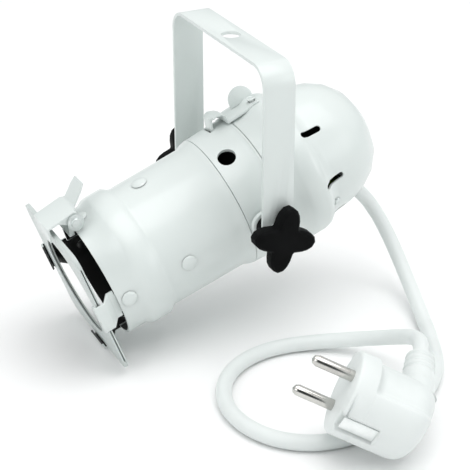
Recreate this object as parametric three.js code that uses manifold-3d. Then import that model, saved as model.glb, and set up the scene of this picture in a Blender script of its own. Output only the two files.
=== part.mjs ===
// A small white par can: a spun metal lantern that hangs by a bent yoke, with a gel frame in front,
// a latched rear cap, a twist-and-lock reflector lamp inside, and a mains cord that ends in an angled plug.
// Millimetres. The origin is the top of the yoke's hanging hole, X runs along the tilt axis, Z is up.
import * as THREE from "three";
import { mergeVertices } from "three/addons/utils/BufferGeometryUtils.js";
import Module from "manifold-3d";

const wasm = await Module();
wasm.setup();

// Fits that every piece shares.
const gap = 0.3; // between neighbours that don't move against each other
const seat = 0.1; // under a rivet head on a round wall
const overrun = 4; // how far a cut runs past the wall that it goes through
const sheet = 0.9; // the painted steel sheet of clips, brackets and the latch

// The can hangs with its nose turned down.
const restTilt = THREE.MathUtils.degToRad(20);
const pivotDrop = 78; // from the top of the yoke to the tilt axis

// Facets round the can, round small turned pieces and round a cord.
const canSides = 40;
const smallSides = 16;
const tinySides = 10;
const cordSides = 8;
const leadSides = 6;


// Outlines of the can run along its axis: places are counted forward from the tilt axis.
// The lamp sets the can's width: its rim stands clear in the neck, which sits inside the barrel's tube.
const lampRim = 25.3;
const lampRoom = 2.9;
const neckWall = 1;
const neckClearance = 0.4;
const shellWall = 1;
const tubeRadius = lampRim + lampRoom + neckWall + neckClearance + shellWall;
// The barrel's radii, from its tube's at the rear.
const barrelRise = { rimDrop: 0.3, band: 1.85, tubeDrop: 0.4, collar: 1.75 };
const barrel = {
  wall: shellWall,
  front: 74,
  rimRadius: tubeRadius - barrelRise.rimDrop,
  mouthRadius: tubeRadius,
  bandRadius: tubeRadius + barrelRise.band,
  bandFront: 64.8,
  bandShoulder: 60.5,
  bandRear: 52.5,
  bandFoot: 48.5,
  tubeFrontRadius: tubeRadius - barrelRise.tubeDrop,
  tubeRearRadius: tubeRadius,
  flareFront: 12.3,
  collarRadius: tubeRadius + barrelRise.collar,
  rear: 7,
};
const housingRise = 2.6; // from the barrel's tube to the housing's rear edge
const housingBoreFit = 0.25; // round the barrel's tube
const housing = {
  neckFront: 44,
  neckClearance,
  neckWall,
  neckRear: 8.4,
  boreRadius: barrel.tubeRearRadius + housingBoreFit,
  boreFront: 5.6,
  rearRadius: barrel.tubeRearRadius + housingRise,
  rear: -12.65,
  beadHeight: 0.4,
  beadLength: 1.6,
  spigotLength: 5.8,
  spareHole: 4.25,
  spareHoleTurn: 62,
};
// The cap's radii, from the housing's rear edge: its front meets it, its skirt bulges and its step draws in.
const capFrontRise = 0.05;
const capSkirtRise = 2.8;
const capStepDrop = 1.47;
const cap = {
  wall: 1,
  frontRadius: housing.rearRadius + capFrontRise,
  skirtRadius: housing.rearRadius + capSkirtRise,
  skirtFront: -25,
  skirtRear: -31,
  stepRadius: housing.rearRadius - capStepDrop,
  stepRear: -39.7,
  domeLength: 32.2,
  ventCount: 8,
  ventFront: -33,
  ventRear: -44,
  ventWidth: 3,
};
const yokeRoom = 10; // beside the cap's skirt
const yoke = {
  width: 15,
  thick: 1.5,
  halfSpan: cap.skirtRadius + yokeRoom,
  bendRadius: 10,
  hangingHole: 4.5,
  armHole: 3.25,
};
const domeRoundness = 0.73; // below 1 the dome is blunter than an ellipse
const domeSteps = 6;

const rivet = {
  headRadius: 4,
  headHeight: 1.1,
  shankRadius: 1.2,
  holeRadius: 1.6,
  tailRadius: 2.2,
  tailHeight: 0.7,
};
const barrelRivetAt = 38;
const clipRivetBack = 5; // behind the barrel's rim
const clipRivetAt = barrel.front - clipRivetBack;

// Tilt hardware on each side, counted outwards from the can's axis.
const bushStand = 0.2; // the head clears the housing's rear edge
const bushHead = 2.3;
const bush = {
  bore: 3.2,
  stemRadius: 4,
  holeRadius: 4.35,
  headRadius: 6.8,
  headIn: housing.rearRadius + bushStand,
  headOut: housing.rearRadius + bushStand + bushHead,
};
const nutInset = 0.75; // under the housing's bore
const nutThick = 1.8;
const bushNut = {
  radius: 5.4,
  inner: housing.boreRadius - nutInset - nutThick,
  outer: housing.boreRadius - nutInset,
};
const spacerRadius = 5.6;
const washer = { radius: 7, thick: 1 };
const washerSides = 24;
const studShort = 0.7; // of the bush's outer face
const stud = { radius: 2.9, innerEnd: bush.headOut - studShort };
const knob = { tipRadius: 15.3, valleyRadius: 8, thick: 6.7, edge: 1.1, studDepth: 4.5 };
const knobLobes = 4;
const knobTurn = THREE.MathUtils.degToRad(-14);
const lobeSharpness = 1.2;
const knobFacets = 48;

const frameHoleInset = 1.3; // inside the lamp's rim
const frameHole = lampRim - frameHoleInset;
const frameBeyondTube = 2.1; // from the barrel's tube to the frame's edge
const slotInset = 5.7;
const frameStandoff = 9.2; // from the barrel's rim to the frame's middle
const frame = {
  halfSide: tubeRadius + frameBeyondTube,
  thick: 1.8,
  middle: barrel.front + frameStandoff,
  cornerRadius: 6,
  slot: 0.5,
  slotHalfWidth: tubeRadius + frameBeyondTube - slotInset,
};
// How far a clip's bends lie from the barrel's rim, from the gel frame's middle and from its edge.
const clipReach = {
  behindRim: 11.5,
  underRim: 1.95,
  pastRim: 3.2,
  behindFrame: 2.6,
  overEdge: 1,
  pastFrame: 1.8,
  lipPastFrame: 2.2,
  underEdge: 1.8,
};
const clip = {
  tailWidth: 10,
  width: 14,
  tailRear: barrel.front - clipReach.behindRim,
  tailHeight: barrel.rimRadius - clipReach.underRim,
  tailFront: barrel.front + clipReach.pastRim,
  rearBend: frame.middle - clipReach.behindFrame,
  baseHeight: frame.halfSide + clipReach.overEdge,
  baseFront: frame.middle + clipReach.pastFrame,
  lipFront: frame.middle + clipReach.lipPastFrame,
  lipHeight: frame.halfSide - clipReach.underEdge,
};

const hingeBehindRim = 1.2;
const hingeOverEdge = 2; // above the gel frame's edge
const hinge = {
  forward: barrel.front - hingeBehindRim,
  height: frame.halfSide + hingeOverEdge,
  pinRadius: 1.5,
  holeRadius: 1.85,
  headRadius: 3.9,
  headThick: 1.2,
};
const hingeScrew = { radius: 2.3, thick: 1.3 };
const bracketReach = { foot: 2.1, front: 4.6 }; // ahead of the hinge
const bracket = {
  halfWidth: 7.1,
  earFoot: hinge.forward + bracketReach.foot,
  earFront: hinge.forward + bracketReach.front,
  earHeadRadius: 3,
  tailWidth: 10,
};
// The flap's bends, from the hinge, from the gel frame's middle and from its edge.
const flapReach = {
  tabBack: 10.9,
  tabRise: 12.3,
  footBack: 2.2,
  footRise: 4.3,
  platePastFrame: 1.7,
  plateRise: 2.7,
  lipPastFrame: 2.8,
  lipUnderEdge: 1.5,
  earAhead: 7.6,
};
const flap = {
  halfWidth: 8.6,
  tabWidth: 10.8,
  tabTop: [hinge.forward - flapReach.tabBack, hinge.height + flapReach.tabRise],
  tabFoot: [hinge.forward - flapReach.footBack, hinge.height + flapReach.footRise],
  plateFront: [frame.middle + flapReach.platePastFrame, hinge.height + flapReach.plateRise],
  lipEnd: [frame.middle + flapReach.lipPastFrame, frame.halfSide - flapReach.lipUnderEdge],
  earHeadRadius: 3.1,
  earFront: hinge.forward + flapReach.earAhead,
};

// The latch's heights, from the cap's skirt and the housing's edge.
const latchRise = { fin: 8, arch: 2.8, hookDrop: 1.3 };
const latch = {
  turn: 104,
  halfWidth: 9,
  archHalfWidth: 6.2,
  hookHalfWidth: 4,
  rear: -28.3,
  rivetAt: -26,
  rivetSpread: 6.5,
  rivetHead: 2.2,
  finLength: 12,
  finMiddle: -23.4,
  finTop: cap.skirtRadius + latchRise.fin,
  finThick: 1,
  archFront: -4.4,
  archTop: cap.skirtRadius + latchRise.arch,
  hookEnd: housing.rearRadius - latchRise.hookDrop,
  slotLength: 2.4,
};

const capScrewStand = 0.57; // above the cap's step
const capScrew = {
  at: -37.4,
  head: 2.1,
  headHeight: 0.9,
  seat: cap.stepRadius + capScrewStand,
  shank: 1.3,
  hole: 1.65,
  length: 4.4,
};
const bracketTurn = THREE.MathUtils.degToRad(22.5); // the socket bracket's ears sit midway between two vents
const strapInset = 1.93; // under the cap's step
const strap = {
  halfSpan: cap.stepRadius - strapInset,
  width: 8,
  plateAt: -29.3,
  earRear: -39.4,
  leadHole: 6.4,
};
const socket = {
  radius: 11,
  face: -13,
  plate: 3,
  chamber: 3.4,
  lugAt: 13.8,
  lugRadius: 3.6,
  lugThick: 4,
  leadHole: 1.5,
};
const socketSides = 28;
const keyway = { pinRadiusAt: 5, neckHalfWidth: 1.9, headHalfWidth: 2.9 };
const keywayTurn = THREE.MathUtils.degToRad(40);
const lampPin = { neck: 1.6, head: 2.5, headLength: 2.5, bury: 1.6 };
const lamp = {
  baseRadius: 9.5,
  baseLength: 11.6,
  rimRadius: lampRim,
  glassThick: 1.4,
  length: 47,
  wall: 1.2,
  floorRadius: 7.5,
};
const capsule = { radius: 4, length: 15 };
const socketScrew = { head: 2.7, headHeight: 1.6, shank: 1.3, hole: 1.7, tail: 1.8 };

const glandTurn = THREE.MathUtils.degToRad(33); // where the gland sits on the dome's quarter curve
const gland = {
  flange: 6.2,
  flangeThick: 2,
  stem: 4.3,
  hole: 4.7,
  bore: 3,
  nose: 4.7,
  noseLength: 3,
  nut: 5.4,
  nutThick: 2,
  nutDrop: 1.1,
};
const leadRadius = 0.9;
const leadSteps = 12;
const cordRadius = 3.5;

const plug = {
  faceRadius: 18.5,
  flatAt: 17,
  discDepth: 8.7,
  bodyHalfWidth: 17.4,
  bodyDepth: 38.5,
  bodyHalfLength: 16,
  backRadius: 11.5,
  edge: 1.2,
  exitDepth: 31,
};
const plugSides = 32;
const plugPin = { radius: 2.4, length: 19, spacing: 19, bury: 4 };
const contact = {
  width: 6.4,
  length: 15,
  thick: 0.9,
  grooveWidth: 7.2,
  grooveLength: 16,
  grooveDepth: 1.3,
  back: 0.8,
};
const relief = {
  rootRadius: 7.6,
  tipRadius: 6.4,
  root: 16.6,
  tip: 38,
  ribs: 3,
  ribDepth: 0.7,
  ribPitch: 3.6,
};
const plugFace = new THREE.Vector3(125.4, -11.6, -110.1);
const pinShares = new THREE.Vector3(-0.48, -0.773, 0.416);
const exitShares = new THREE.Vector3(-0.784, 0.59, 0.192);

// The cord's route: out of the gland, down to the ground, round behind the plug and back over itself.
const cordRoute = [
  [0, 67.15, -88.32],
  [0.9, 74.1, -96.3],
  [3.8, 79.1, -104.9],
  [8.7, 82.1, -113.5],
  [15.8, 83.1, -121],
  [25.8, 82.1, -127.4],
  [39.2, 79, -132.5],
  [54, 74.4, -135.5],
  [68.5, 68.9, -136.5],
  [82.4, 62.3, -136.5],
  [94.9, 54.4, -136.5],
  [104.4, 44.6, -136.5],
  [110.9, 33, -136.5],
  [116.1, 19.8, -136.5],
  [120.3, 5.8, -136.5],
  [121.4, -8.6, -136.5],
  [117.9, -22, -136.5],
  [109.6, -32.8, -136.5],
  [97.4, -39.6, -136.5],
  [83, -41.5, -136.5],
  [68.6, -37.9, -136.5],
  [56.8, -29.7, -136.5],
  [49.1, -18.5, -136.5],
  [45.7, -6.2, -136.5],
  [46.2, 6.4, -136.5],
  [50.2, 18.4, -135.8],
  [56.6, 28.5, -134],
  [63.7, 35.7, -131.4],
  [71.1, 40.6, -128.2],
  [78.7, 43.6, -124.5],
  [86.7, 44.9, -120.5],
  [94.9, 43.6, -117.1],
  [102.9, 40, -115.2],
  [110.27, 35, -115.62],
];
const cordSteps = 56;

// Turns every face of a closed surface outwards and shares its corners, ready for cutting and joining.
function solidOf(geometry) {
  const bare = geometry.index ? geometry.toNonIndexed() : geometry.clone();
  bare.deleteAttribute("normal");
  bare.deleteAttribute("uv");
  const merged = mergeVertices(bare);
  const corners = new Uint32Array(merged.index.array);
  const make = () =>
    new wasm.Manifold(
      new wasm.Mesh({ numProp: 3, vertProperties: merged.attributes.position.array, triVerts: corners }),
    );
  const solid = make();
  if (solid.volume() > 0) return solid;
  for (let i = 0; i < corners.length; i += 3) [corners[i], corners[i + 1]] = [corners[i + 1], corners[i]];
  return make();
}

function geometryOf(solid) {
  const mesh = solid.getMesh();
  const geometry = new THREE.BufferGeometry();
  geometry.setAttribute("position", new THREE.BufferAttribute(mesh.vertProperties, 3));
  geometry.setIndex(new THREE.BufferAttribute(mesh.triVerts, 1));
  return geometry.toNonIndexed();
}

const cut = (base, ...tools) =>
  geometryOf(tools.reduce((rest, tool) => rest.subtract(solidOf(tool)), solidOf(base)));
const join = (base, ...others) =>
  geometryOf(others.reduce((whole, other) => whole.add(solidOf(other)), solidOf(base)));
const common = (base, other) => geometryOf(solidOf(base).intersect(solidOf(other)));

// Moves an open outline to its left by a distance, keeping its bends sharp and its axis ends on the axis.
function offset(outline, distance) {
  const points = outline.map(([x, y]) => new THREE.Vector2(x, y));
  const origin = new THREE.Vector2();
  const leftOf = (from, to) => to.clone().sub(from).normalize().rotateAround(origin, Math.PI / 2);
  return points.map((point, i) => {
    const before = i > 0 ? leftOf(points[i - 1], point) : leftOf(point, points[i + 1]);
    const after = i < points.length - 1 ? leftOf(point, points[i + 1]) : before;
    const middle = before.clone().add(after).normalize();
    const moved = point.clone().addScaledVector(middle, distance / middle.dot(before));
    return [point.x === 0 ? 0 : moved.x, moved.y];
  });
}

// A closed outline round a bent sheet whose middle line is given.
function sheetOutline(middle, thick) {
  return [...offset(middle, thick / 2), ...offset(middle, -thick / 2).reverse()];
}

const shapeOf = (outline) => new THREE.Shape(outline.map(([x, y]) => new THREE.Vector2(x, y)));

// A shape pushed out along its own Z, from one height to another.
function extruded(shape, from, to, curveSegments = smallSides) {
  const geometry = new THREE.ExtrudeGeometry(shape, { depth: to - from, bevelEnabled: false, curveSegments });
  return geometry.translate(0, 0, from);
}

// A shape drawn in front view, as X and Z, pushed along the can or along Y by a width about the middle.

// A shape drawn in side view, as Y and Z, pushed along X by a width about the middle.
const sideToX = new THREE.Matrix4().makeBasis(
  new THREE.Vector3(0, 1, 0),
  new THREE.Vector3(0, 0, 1),
  new THREE.Vector3(1, 0, 0),
);
const acrossX = (shape, width) => extruded(shape, -width / 2, width / 2).applyMatrix4(sideToX);

// Points given as forward place and height become Y and Z.
const sideView = (points) => points.map(([forward, height]) => [-forward, height]);

// A round post that stands along Z, and a round bar along X.
function post(radius, from, to, sides = smallSides) {
  return new THREE.CylinderGeometry(radius, radius, to - from, sides)
    .rotateX(Math.PI / 2)
    .translate(0, 0, (from + to) / 2);
}
function bar(radius, from, to, sides = smallSides) {
  return new THREE.CylinderGeometry(radius, radius, to - from, sides)
    .rotateZ(Math.PI / 2)
    .translate((from + to) / 2, 0, 0);
}

function box(xFrom, xTo, yFrom, yTo, zFrom, zTo) {
  const size = [xTo - xFrom, yTo - yFrom, zTo - zFrom];
  return new THREE.BoxGeometry(...size).translate((xFrom + xTo) / 2, (yFrom + yTo) / 2, (zFrom + zTo) / 2);
}

// An outline as points, brought back to its first point where it doesn't start on the axis.
function lathePoints(outline) {
  const points = outline.map(([radius, along]) => new THREE.Vector2(radius, along));
  return points[0].x === 0 ? points : [...points, points[0]];
}

// A closed outline of radius and height, turned about Z.
const turned = (outline, sides) => new THREE.LatheGeometry(lathePoints(outline), sides).rotateX(Math.PI / 2);

// A closed outline of radius and forward place, turned about the can's axis.
function turnedAboutCan(outline, sides = canSides) {
  return new THREE.LatheGeometry(lathePoints(outline), sides).rotateX(Math.PI);
}

// A shape in the plane across the can, pushed forward from one place to another.
const alongCan = (shape, from, to) => extruded(shape, from, to, 6).rotateX(Math.PI / 2);

// Carries a piece that was drawn on top of the can round to another place: 0 is the right side, 90 the top.
const roundCan = (geometry, degrees) => geometry.rotateY(THREE.MathUtils.degToRad(90 - degrees));

// Puts a piece that stands on the plane Z = 0 at a place along the can, at a height over its axis.
const onCan = (geometry, forward, height) => geometry.translate(0, -forward, height);

function finish(color, roughness, metalness) {
  return new THREE.MeshStandardMaterial({ color, roughness, metalness });
}
const whiteCoat = () => finish(0xe6efec, 0.22, 0);
const blackPlastic = () => finish(0x0b0c0d, 0.4, 0);
const zinc = () => finish(0xb9bec0, 0.3, 1);
const nickel = () => finish(0xc2c7c6, 0.2, 1);
const whitePvc = () => finish(0xe7eeec, 0.42, 0);
const ceramic = () => finish(0xe9e4d8, 0.7, 0);
const mirror = () => finish(0xd9dcde, 0.12, 1);
const clearGlass = () => finish(0xdfe6e8, 0.05, 0);

const part = new THREE.Group();
const can = new THREE.Group();
can.position.set(0, 0, -pivotDrop);
can.rotation.x = restTilt;
part.add(can);

function addPiece(parent, name, geometry, material) {
  const facingOut = geometryOf(solidOf(geometry));
  facingOut.computeVertexNormals();
  const mesh = new THREE.Mesh(facingOut, material);
  mesh.name = name;
  parent.add(mesh);
  return mesh;
}

// The yoke: one strip bent into a U, with rounded arm ends, a hanging hole on top and a hole in each arm.
function yokeGeometry() {
  const { width, thick, halfSpan, bendRadius } = yoke;
  const foot = -pivotDrop - width / 2;
  const strip = new THREE.Shape();
  strip.moveTo(-halfSpan, foot);
  strip.lineTo(-halfSpan + thick, foot);
  strip.lineTo(-halfSpan + thick, -bendRadius);
  strip.absarc(-halfSpan + bendRadius, -bendRadius, bendRadius - thick, Math.PI, Math.PI / 2, true);
  strip.absarc(halfSpan - bendRadius, -bendRadius, bendRadius - thick, Math.PI / 2, 0, true);
  strip.lineTo(halfSpan - thick, foot);
  strip.lineTo(halfSpan, foot);
  strip.lineTo(halfSpan, -bendRadius);
  strip.absarc(halfSpan - bendRadius, -bendRadius, bendRadius, 0, Math.PI / 2, false);
  strip.absarc(-halfSpan + bendRadius, -bendRadius, bendRadius, Math.PI / 2, Math.PI, false);
  const side = new THREE.Shape();
  side.moveTo(width / 2, overrun);
  side.lineTo(-width / 2, overrun);
  side.lineTo(-width / 2, -pivotDrop);
  side.absarc(0, -pivotDrop, width / 2, Math.PI, 0, false);
  const blank = geometryOf(
    solidOf(new THREE.ExtrudeGeometry(strip, { depth: width, bevelEnabled: false, curveSegments: 7 })
      .translate(0, 0, -width / 2)
      .rotateX(Math.PI / 2)),
  );
  const rounded = common(blank, acrossX(side, 2 * (halfSpan + overrun)));
  const hanging = post(yoke.hangingHole, -thick - overrun, overrun, 20);
  const arms = bar(yoke.armHole, -halfSpan - overrun, halfSpan + overrun).translate(0, 0, -pivotDrop);
  return cut(rounded, hanging, arms);
}
addPiece(part, "yoke", yokeGeometry(), whiteCoat());

// The front barrel: a spun tube with a raised band behind its rim and a collar flared over the housing.
function barrelOutline() {
  const b = barrel;
  const roundRadiusShare = 0.8;
  const roundLengthShare = 0.6;
  const between = THREE.MathUtils.lerp;
  return [
    [b.rimRadius, b.front],
    [b.mouthRadius, b.bandFront],
    [
      between(b.mouthRadius, b.bandRadius, roundRadiusShare),
      between(b.bandFront, b.bandShoulder, roundLengthShare),
    ],
    [b.bandRadius, b.bandShoulder],
    [b.bandRadius, b.bandRear],
    [
      between(b.tubeFrontRadius, b.bandRadius, 1 - roundRadiusShare),
      between(b.bandFoot, b.bandRear, 1 - roundLengthShare),
    ],
    [b.tubeFrontRadius, b.bandFoot],
    [b.tubeRearRadius, b.flareFront],
    [between(b.tubeRearRadius, b.collarRadius, roundLengthShare), between(b.flareFront, b.rear, 1 / 2)],
    [b.collarRadius, b.rear],
  ];
}
const shellOutline = (outer, wall) => [...outer, ...offset(outer, -wall).reverse()];
const barrelOuter = barrelOutline();
const tubeInnerRadius = barrel.tubeFrontRadius - barrel.wall;
const neckRadius = tubeInnerRadius - housing.neckClearance;
const neckBore = neckRadius - housing.neckWall;

// A hole drilled towards the can's axis from the top, turned to its place.
function radialHole(radius, forward, degrees, sides = tinySides) {
  const drill = post(radius, neckBore - overrun, cap.skirtRadius + overrun, sides);
  return roundCan(onCan(drill, forward, 0), degrees);
}
const quarterTurns = [0, 90, 180, 270];
const rivetHoles = [
  ...quarterTurns.map((degrees) => radialHole(rivet.holeRadius, barrelRivetAt, degrees)),
  ...quarterTurns.map((degrees) => radialHole(rivet.holeRadius, clipRivetAt, degrees)),
];
const barrelShell = turnedAboutCan(shellOutline(barrelOuter, barrel.wall));
addPiece(can, "front_barrel", cut(barrelShell, ...rivetHoles), whiteCoat());

// The rear housing: a neck riveted inside the barrel, a wall flush with its collar, and a spigot for the cap.
function housingOutline() {
  const h = housing;
  const front = barrel.rear - gap;
  const spigot = cap.frontRadius - cap.wall - h.neckClearance;
  const beadRadius = h.rearRadius + h.beadHeight;
  return [
    [neckBore, h.neckFront],
    [neckRadius, h.neckFront],
    [neckRadius, h.neckRear],
    [h.boreRadius, front],
    [barrel.collarRadius, front],
    [h.rearRadius, h.rear + 2 * h.beadLength],
    [h.rearRadius, h.rear + h.beadLength],
    [beadRadius, h.rear + h.beadLength / 2],
    [h.rearRadius, h.rear],
    [spigot, h.rear],
    [spigot, h.rear - h.spigotLength],
    [h.boreRadius, h.rear - h.spigotLength],
    [h.boreRadius, h.boreFront],
    [neckBore, h.neckRear],
  ];
}
const latchSlot = onCan(
  box(-latch.hookHalfWidth - 2 * gap, latch.hookHalfWidth + 2 * gap, 0, latch.slotLength, 0, cap.skirtRadius),
  latch.archFront + latch.slotLength - gap,
  0,
);
const pivotHoles = bar(bush.holeRadius, -cap.skirtRadius, cap.skirtRadius);
const housingCuts = [
  ...quarterTurns.map((degrees) => radialHole(rivet.holeRadius, barrelRivetAt, degrees)),
  radialHole(housing.spareHole, 0, housing.spareHoleTurn, smallSides),
  roundCan(latchSlot, latch.turn),
  pivotHoles,
];
addPiece(can, "rear_housing", cut(turnedAboutCan(housingOutline()), ...housingCuts), whiteCoat());

// The rear cap: a skirt that swells, steps in and closes as a blunt dome with a ring of vents.
function domePoint(turn) {
  const radius = turn < Math.PI / 2 ? cap.stepRadius * Math.cos(turn) ** domeRoundness : 0;
  return [radius, cap.stepRear - cap.domeLength * Math.sin(turn)];
}
function capOutline() {
  const c = cap;
  const front = housing.rear - gap;
  const swell = c.skirtRadius - c.frontRadius;
  const skirtShares = [
    [0.13, 0.34],
    [0.42, 0.6],
    [0.82, 0.84],
  ];
  const stepShares = [
    [0.16, 0.28],
    [0.42, 0.45],
    [0.8, 0.62],
  ];
  const rise = skirtShares.map(([radiusShare, lengthShare]) => [
    c.frontRadius + swell * radiusShare,
    THREE.MathUtils.lerp(front, c.skirtFront, lengthShare),
  ]);
  const fall = stepShares.map(([radiusShare, lengthShare]) => [
    THREE.MathUtils.lerp(c.skirtRadius, c.stepRadius, radiusShare),
    THREE.MathUtils.lerp(c.skirtRear, c.stepRear, lengthShare),
  ]);
  const dome = Array.from({ length: domeSteps + 1 }, (_, i) => domePoint((i / domeSteps) * (Math.PI / 2)));
  const skirt = [
    [c.skirtRadius, c.skirtFront],
    [c.skirtRadius, c.skirtRear],
  ];
  return [[c.frontRadius, front], ...rise, ...skirt, ...fall, ...dome];
}
function ventCutter(degrees) {
  const round = cap.ventWidth / 2;
  const shape = new THREE.Shape();
  shape.absarc(0, -cap.ventFront - -round, round, Math.PI, 0, false);
  shape.absarc(0, -cap.ventRear - round, round, 0, Math.PI, false);
  return roundCan(extruded(shape, strap.halfSpan - overrun, cap.skirtRadius + overrun, 4), degrees);
}
const ventTurns = Array.from({ length: cap.ventCount }, (_, i) => (360 / cap.ventCount) * i);
const glandPlace = domePoint(glandTurn);
const glandStep = domePoint(glandTurn + 1 / cap.domeLength);
const glandLean = Math.atan2(glandPlace[0] - glandStep[0], glandPlace[1] - glandStep[1]);

// Turns a piece that stands on Z = 0 to stand on the underside of the dome.
const onDome = (geometry) =>
  geometry.rotateX(glandLean - Math.PI).translate(0, -glandPlace[1], -glandPlace[0]);
const bracketTurns = [-bracketTurn, Math.PI - bracketTurn].map(THREE.MathUtils.radToDeg);
const latchRivetSides = [-1, 1];
const latchRivetHoles = latchRivetSides.map((side) =>
  roundCan(
    onCan(post(rivet.holeRadius, 0, cap.skirtRadius + overrun, tinySides), latch.rivetAt, 0)
      .translate(side * latch.rivetSpread, 0, 0),
    latch.turn,
  ),
);
function spotFace(degrees) {
  const drill = post(capScrew.head + gap, capScrew.seat, cap.skirtRadius + overrun, tinySides);
  return roundCan(onCan(drill, capScrew.at, 0), degrees);
}
const capCuts = [
  ...ventTurns.map(ventCutter),
  ...bracketTurns.map((degrees) => radialHole(capScrew.hole, capScrew.at, degrees)),
  ...bracketTurns.map(spotFace),
  ...latchRivetHoles,
  onDome(post(gland.hole, -gland.nut - overrun, gland.nut, smallSides)),
];
addPiece(can, "rear_cap", cut(turnedAboutCan(shellOutline(capOutline(), cap.wall)), ...capCuts), whiteCoat());

// A rivet with a low round head outside and a flattened tail inside, drawn standing on Z = 0.
function rivetGeometry(grip) {
  const r = rivet;
  const shoulderShare = 0.72;
  const outline = [
    [0, r.headHeight],
    [r.headRadius * shoulderShare, r.headHeight * shoulderShare],
    [r.headRadius, 0],
    [r.shankRadius, 0],
    [r.shankRadius, -grip],
    [r.tailRadius, -grip],
    [r.tailRadius, -grip - r.tailHeight],
    [0, -grip - r.tailHeight],
  ];
  return turned(outline, tinySides);
}
const sideNames = ["right", "top", "left", "bottom"];
const barrelRadiusAtRivets = THREE.MathUtils.mapLinear(
  barrelRivetAt,
  barrel.bandFoot,
  barrel.flareFront,
  barrel.tubeFrontRadius,
  barrel.tubeRearRadius,
);
quarterTurns.forEach((degrees, i) => {
  const height = barrelRadiusAtRivets + seat;
  const geometry = onCan(rivetGeometry(height - neckBore + gap), barrelRivetAt, height);
  addPiece(can, `barrel_rivet_${sideNames[i]}`, roundCan(geometry, degrees), whiteCoat());
});

// The gel clips: strips that leave the barrel's mouth, step outwards behind the frame and hook over its edge.
const clipHole = post(rivet.holeRadius, 0, cap.skirtRadius, tinySides).translate(0, -clipRivetAt, 0);
function clipGeometry() {
  const c = clip;
  const middle = [
    [c.tailRear, c.tailHeight],
    [c.tailFront, c.tailHeight],
    [c.rearBend, c.baseHeight],
    [c.baseFront, c.baseHeight],
    [c.lipFront, c.lipHeight],
  ];
  const strip = acrossX(shapeOf(sheetOutline(sideView(middle), sheet)), c.width);
  const shoulder = barrel.front + gap;
  const plan = shapeOf([
    [-c.tailWidth / 2, 0],
    [-c.tailWidth / 2, -shoulder],
    [-c.width / 2 - gap, -shoulder],
    [-c.width / 2 - gap, -c.lipFront - overrun],
    [c.width / 2 + gap, -c.lipFront - overrun],
    [c.width / 2 + gap, -shoulder],
    [c.tailWidth / 2, -shoulder],
    [c.tailWidth / 2, 0],
  ]);
  return cut(common(strip, extruded(plan, 0, cap.skirtRadius + overrun)), clipHole);
}
const rimRadiusAtRivets = THREE.MathUtils.mapLinear(
  clipRivetAt,
  barrel.front,
  barrel.bandFront,
  barrel.rimRadius,
  barrel.mouthRadius,
);
function clipRivetGeometry() {
  const height = rimRadiusAtRivets + seat;
  return onCan(rivetGeometry(height - clip.tailHeight + sheet / 2 + seat), clipRivetAt, height);
}
quarterTurns.forEach((degrees, i) => {
  if (sideNames[i] === "top") return;
  addPiece(can, `gel_clip_${sideNames[i]}`, roundCan(clipGeometry(), degrees), whiteCoat());
  addPiece(can, `clip_rivet_${sideNames[i]}`, roundCan(clipRivetGeometry(), degrees), whiteCoat());
});

// The gel frame: two square sheets with a round opening, joined on three sides and open on the right.
function frameGeometry() {
  const { halfSide, thick, middle, cornerRadius } = frame;
  const straight = halfSide - cornerRadius;
  const plate = new THREE.Shape();
  plate.absarc(straight, straight, cornerRadius, 0, Math.PI / 2, false);
  plate.absarc(-straight, straight, cornerRadius, Math.PI / 2, Math.PI, false);
  plate.absarc(-straight, -straight, cornerRadius, Math.PI, 1.5 * Math.PI, false);
  plate.absarc(straight, -straight, cornerRadius, 1.5 * Math.PI, 2 * Math.PI, false);
  const opening = new THREE.CylinderGeometry(frameHole, frameHole, thick + overrun, canSides);
  const gelSlot = box(
    -frame.slotHalfWidth, halfSide + overrun,
    -middle - frame.slot / 2, -middle + frame.slot / 2,
    -frame.slotHalfWidth, frame.slotHalfWidth,
  );
  return cut(
    extruded(plate, middle - thick / 2, middle + thick / 2, 3).rotateX(Math.PI / 2),
    opening.translate(0, -middle, 0),
    gelSlot,
  );
}
addPiece(can, "gel_frame", frameGeometry(), whiteCoat());

// The retainer's bracket: a strip out of the barrel's mouth with an ear at each side for the hinge pin.
const hingeBore = (radius) => bar(radius, -flap.halfWidth - overrun, flap.halfWidth + overrun, smallSides)
  .translate(0, -hinge.forward, hinge.height);
function earHead(radius, inner, outer) {
  return bar(radius, inner, outer, smallSides).translate(0, -hinge.forward, hinge.height);
}
function bracketGeometry() {
  const b = bracket;
  const under = clip.tailHeight - sheet / 2;
  const tail = box(-b.tailWidth / 2, b.tailWidth / 2, -b.earFront, -clip.tailRear, under, under + sheet);
  const cross = box(-b.halfWidth, b.halfWidth, -b.earFront, -b.earFoot, under, under + sheet);
  const ear = shapeOf(sideView([
    [b.earFoot, under],
    [b.earFront, under],
    [hinge.forward + b.earHeadRadius, hinge.height],
    [hinge.forward, hinge.height + b.earHeadRadius],
    [hinge.forward - b.earHeadRadius, hinge.height],
    [hinge.forward, hinge.height - b.earHeadRadius],
    [b.earFoot, hinge.height - b.earHeadRadius - sheet],
  ]));
  const ears = [-1, 1].flatMap((side) => [
    acrossX(ear, sheet).translate(side * (b.halfWidth - sheet / 2), 0, 0),
    earHead(b.earHeadRadius, -sheet / 2, sheet / 2).translate(side * (b.halfWidth - sheet / 2), 0, 0),
  ]);
  return cut(join(tail, cross, ...ears), hingeBore(hinge.holeRadius), clipHole);
}
addPiece(can, "retainer_bracket", bracketGeometry(), whiteCoat());
addPiece(can, "retainer_rivet", clipRivetGeometry(), whiteCoat());

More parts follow.
